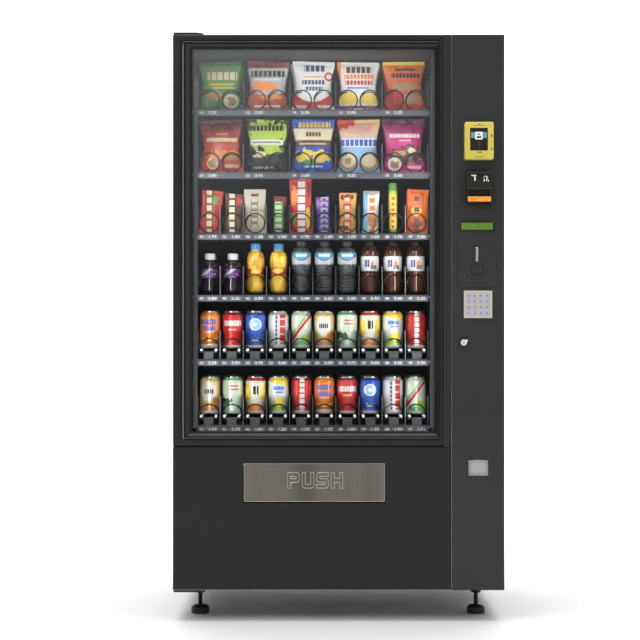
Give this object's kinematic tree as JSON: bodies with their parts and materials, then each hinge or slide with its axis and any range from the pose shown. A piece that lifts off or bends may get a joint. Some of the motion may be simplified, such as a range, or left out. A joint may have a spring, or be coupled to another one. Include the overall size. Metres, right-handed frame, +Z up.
{
  "type": "snack vending machine",
  "caption": "Glass-front snack and drink vending machine with a hinged door, spiral trays, a push flap, a keypad and payment units, on levelling feet.",
  "frame": {"origin": "on the floor under the middle of the machine", "axes": "+Z up, the glass front faces -Y, +X to the right of a person facing the front"},
  "size_m": [1.028, 0.9, 1.831],
  "materials": {
    "painted_steel": "satin powder coat",
    "white_liner": "satin",
    "zinc_steel": "zinc plated",
    "black_enamel": "gloss",
    "aluminium_fins": "satin",
    "black_plastic": "satin",
    "black_steel": "satin",
    "satin_trim": "satin",
    "clear_glass": "clear",
    "black_rubber": "matt",
    "yellow_plastic": "satin",
    "green_display": "lit",
    "bright_steel": "polished",
    "brushed_steel": "brushed",
    "light_plastic": "satin",
    "key_metal": "brushed",
    "grey_sheet": "powder coat",
    "black_wire": "coated",
    "printed_can": "printed"
  },
  "bodies": {
    "cabinet": {"cabinet_shell": "painted_steel", "cabinet_liner": "white_liner", "air_duct": "white_liner", "tray_runners": "zinc_steel", "rear_grille": "painted_steel", "compressor": "black_enamel", "condenser": "aluminium_fins", "power_inlet": "black_plastic", "levelling_feet": "black_steel", "hinge_brackets": "black_steel"},
    "fan": {"condenser_fan": "black_plastic"},
    "door": {"door_frame": "painted_steel", "door_skin": "painted_steel", "window_frame": "satin_trim", "window_glass": "clear_glass", "door_gasket": "black_rubber", "control_column": "painted_steel", "card_reader": "yellow_plastic", "bill_validator": "black_plastic", "service_plate": "painted_steel", "lcd_display": "green_display", "coin_slot": "bright_steel", "keypad_plate": "brushed_steel", "coin_cup": "light_plastic", "delivery_bin": "black_plastic"},
    "push_door": {"push_flap": "brushed_steel"},
    "cup_door": {"coin_cup_flap": "light_plastic"},
    "return_button": {"coin_return_button": "black_plastic"},
    "lock": {"lock_plug": "bright_steel"},
    "can_lane_spiral": {"can_spiral": "black_wire"},
    "lane_can": {"vend_can": "printed_can"},
    "tray_1_body": {"tray_1": "grey_sheet", "tray_1_lane_kit": "black_wire"},
    "tray_2_body": {"tray_2": "grey_sheet", "tray_2_lane_kit": "black_wire"},
    "tray_3_body": {"tray_3": "grey_sheet", "tray_3_lane_kit": "black_wire"},
    "tray_4_body": {"tray_4": "grey_sheet", "tray_4_lane_kit": "black_wire"},
    "tray_5_body": {"tray_5": "grey_sheet", "tray_5_lane_kit": "black_wire"},
    "tray_6_body": {"tray_6": "grey_sheet", "tray_6_lane_kit": "black_wire"},
    "key_01_body": {"key_01": "key_metal"},
    "key_02_body": {"key_02": "key_metal"},
    "key_03_body": {"key_03": "key_metal"},
    "key_04_body": {"key_04": "key_metal"},
    "key_05_body": {"key_05": "key_metal"},
    "key_06_body": {"key_06": "key_metal"},
    "key_07_body": {"key_07": "key_metal"},
    "key_08_body": {"key_08": "key_metal"},
    "key_09_body": {"key_09": "key_metal"},
    "key_10_body": {"key_10": "key_metal"},
    "key_11_body": {"key_11": "key_metal"},
    "key_12_body": {"key_12": "key_metal"},
    "key_13_body": {"key_13": "key_metal"},
    "key_14_body": {"key_14": "key_metal"},
    "key_15_body": {"key_15": "key_metal"},
    "key_16_body": {"key_16": "key_metal"}
  },
  "joints": [
    {"name": "door_hinge", "type": "hinge", "parent": "cabinet", "child": "door", "pos_m": [-0.503, -0.36, 0.9], "axis": [0, 0, -1], "range_deg": [0, 110]},
    {"name": "fan_spin", "type": "hinge", "parent": "cabinet", "child": "fan", "pos_m": [-0.15, 0.387, 0.305], "axis": [0, 1, 0], "continuous": true},
    {"name": "push_flap_hinge", "type": "hinge", "parent": "door", "child": "push_door", "pos_m": [-0.07625, -0.4075, 0.487], "axis": [1, 0, 0], "range_deg": [0, 60]},
    {"name": "coin_cup_flap_hinge", "type": "hinge", "parent": "door", "child": "cup_door", "pos_m": [0.433, -0.4085, 0.497], "axis": [1, 0, 0], "range_deg": [0, 55]},
    {"name": "coin_return_press", "type": "slide", "parent": "door", "child": "return_button", "axis": [0, 1, 0], "range_m": [0, 0.005], "stiffness_N_per_m": 200},
    {"name": "lock_turn", "type": "hinge", "parent": "door", "child": "lock", "pos_m": [0.3878, -0.412, 0.865], "axis": [0, 1, 0], "range_deg": [0, 90]},
    {"name": "tray_1_slide", "type": "slide", "parent": "cabinet", "child": "tray_1_body", "axis": [0, -1, 0], "range_m": [0, 0.12]},
    {"name": "tray_2_slide", "type": "slide", "parent": "cabinet", "child": "tray_2_body", "axis": [0, -1, 0], "range_m": [0, 0.12]},
    {"name": "tray_3_slide", "type": "slide", "parent": "cabinet", "child": "tray_3_body", "axis": [0, -1, 0], "range_m": [0, 0.12]},
    {"name": "tray_4_slide", "type": "slide", "parent": "cabinet", "child": "tray_4_body", "axis": [0, -1, 0], "range_m": [0, 0.12]},
    {"name": "tray_5_slide", "type": "slide", "parent": "cabinet", "child": "tray_5_body", "axis": [0, -1, 0], "range_m": [0, 0.12]},
    {"name": "tray_6_slide", "type": "slide", "parent": "cabinet", "child": "tray_6_body", "axis": [0, -1, 0], "range_m": [0, 0.12]},
    {"name": "key_01_press", "type": "slide", "parent": "door", "child": "key_01_body", "axis": [0, 1, 0], "range_m": [0, 0.0012], "stiffness_N_per_m": 400},
    {"name": "key_02_press", "type": "slide", "parent": "door", "child": "key_02_body", "axis": [0, 1, 0], "range_m": [0, 0.0012], "stiffness_N_per_m": 400},
    {"name": "key_03_press", "type": "slide", "parent": "door", "child": "key_03_body", "axis": [0, 1, 0], "range_m": [0, 0.0012], "stiffness_N_per_m": 400},
    {"name": "key_04_press", "type": "slide", "parent": "door", "child": "key_04_body", "axis": [0, 1, 0], "range_m": [0, 0.0012], "stiffness_N_per_m": 400},
    {"name": "key_05_press", "type": "slide", "parent": "door", "child": "key_05_body", "axis": [0, 1, 0], "range_m": [0, 0.0012], "stiffness_N_per_m": 400},
    {"name": "key_06_press", "type": "slide", "parent": "door", "child": "key_06_body", "axis": [0, 1, 0], "range_m": [0, 0.0012], "stiffness_N_per_m": 400},
    {"name": "key_07_press", "type": "slide", "parent": "door", "child": "key_07_body", "axis": [0, 1, 0], "range_m": [0, 0.0012], "stiffness_N_per_m": 400},
    {"name": "key_08_press", "type": "slide", "parent": "door", "child": "key_08_body", "axis": [0, 1, 0], "range_m": [0, 0.0012], "stiffness_N_per_m": 400},
    {"name": "key_09_press", "type": "slide", "parent": "door", "child": "key_09_body", "axis": [0, 1, 0], "range_m": [0, 0.0012], "stiffness_N_per_m": 400},
    {"name": "key_10_press", "type": "slide", "parent": "door", "child": "key_10_body", "axis": [0, 1, 0], "range_m": [0, 0.0012], "stiffness_N_per_m": 400},
    {"name": "key_11_press", "type": "slide", "parent": "door", "child": "key_11_body", "axis": [0, 1, 0], "range_m": [0, 0.0012], "stiffness_N_per_m": 400},
    {"name": "key_12_press", "type": "slide", "parent": "door", "child": "key_12_body", "axis": [0, 1, 0], "range_m": [0, 0.0012], "stiffness_N_per_m": 400},
    {"name": "key_13_press", "type": "slide", "parent": "door", "child": "key_13_body", "axis": [0, 1, 0], "range_m": [0, 0.0012], "stiffness_N_per_m": 400},
    {"name": "key_14_press", "type": "slide", "parent": "door", "child": "key_14_body", "axis": [0, 1, 0], "range_m": [0, 0.0012], "stiffness_N_per_m": 400},
    {"name": "key_15_press", "type": "slide", "parent": "door", "child": "key_15_body", "axis": [0, 1, 0], "range_m": [0, 0.0012], "stiffness_N_per_m": 400},
    {"name": "key_16_press", "type": "slide", "parent": "door", "child": "key_16_body", "axis": [0, 1, 0], "range_m": [0, 0.0012], "stiffness_N_per_m": 400},
    {"name": "can_spiral_turn", "type": "hinge", "parent": "tray_5_body", "child": "can_lane_spiral", "pos_m": [-0.19304, -0.1, 0.8437], "axis": [0, 1, 0], "range_deg": [0, 360]},
    {"name": "can_advance", "type": "slide", "parent": "tray_5_body", "child": "lane_can", "axis": [0, -1, 0], "range_m": [0, 0.08]}
  ],
  "couplings": [
    {"joint": "can_spiral_turn", "follows": "can_advance", "rad_per_m": 78.539}
  ]
}
